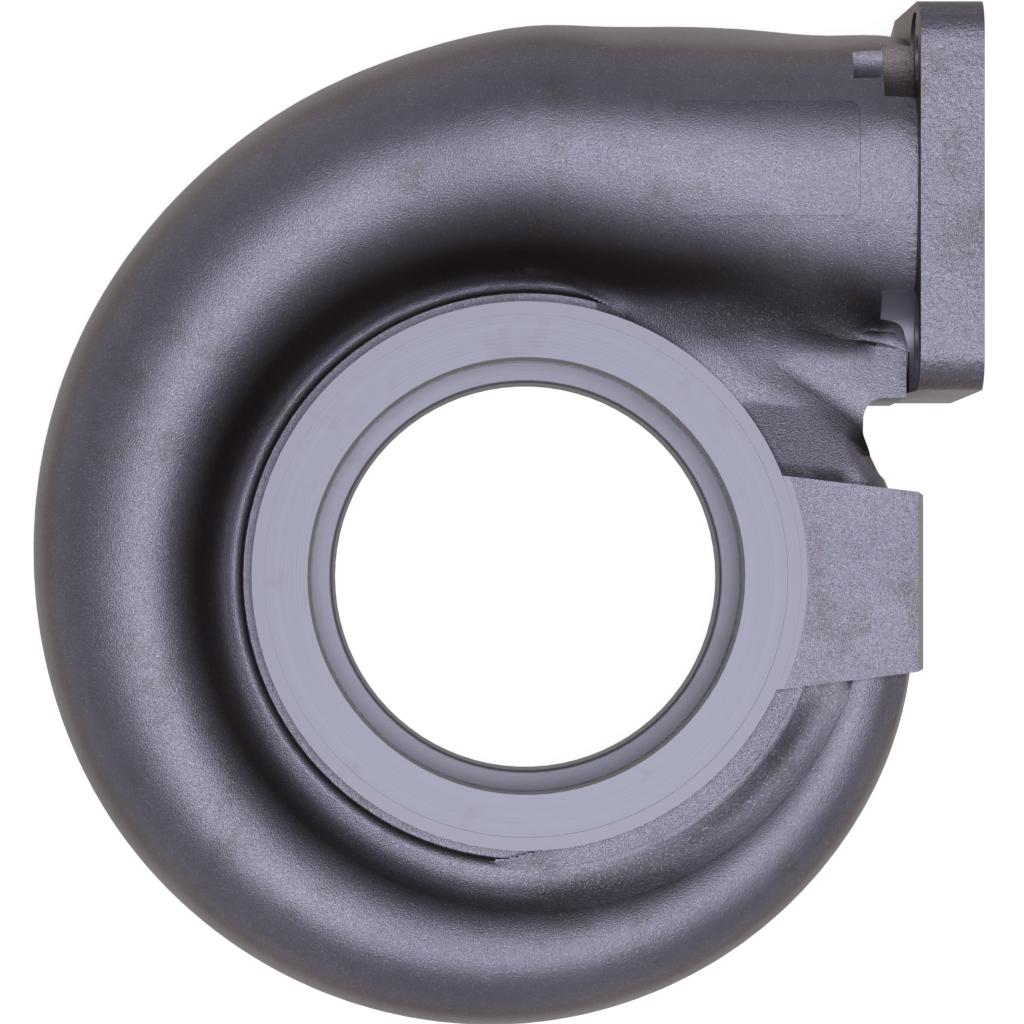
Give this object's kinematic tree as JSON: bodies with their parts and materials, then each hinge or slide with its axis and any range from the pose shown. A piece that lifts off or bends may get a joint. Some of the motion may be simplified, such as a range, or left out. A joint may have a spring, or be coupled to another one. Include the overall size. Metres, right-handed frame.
{
  "type": "turbocharger turbine housing",
  "caption": "Divided turbine housing of a turbocharger: cast iron scroll with a square gas inlet flange, a machined bearing ring and a round outlet.",
  "frame": {"origin": "on the turbine axis, in the plane of the outlet face", "axes": "+Z along the turbine axis towards the bearing side, +X square to the gas inlet flange and out of it, +Y towards the side where the inlet flange lies"},
  "size_m": [0.2299, 0.2478, 0.128],
  "materials": {
    "casting": "sand cast skin with turned faces"
  },
  "bodies": {
    "root": {"turbine_housing": "casting"}
  },
  "joints": []
}
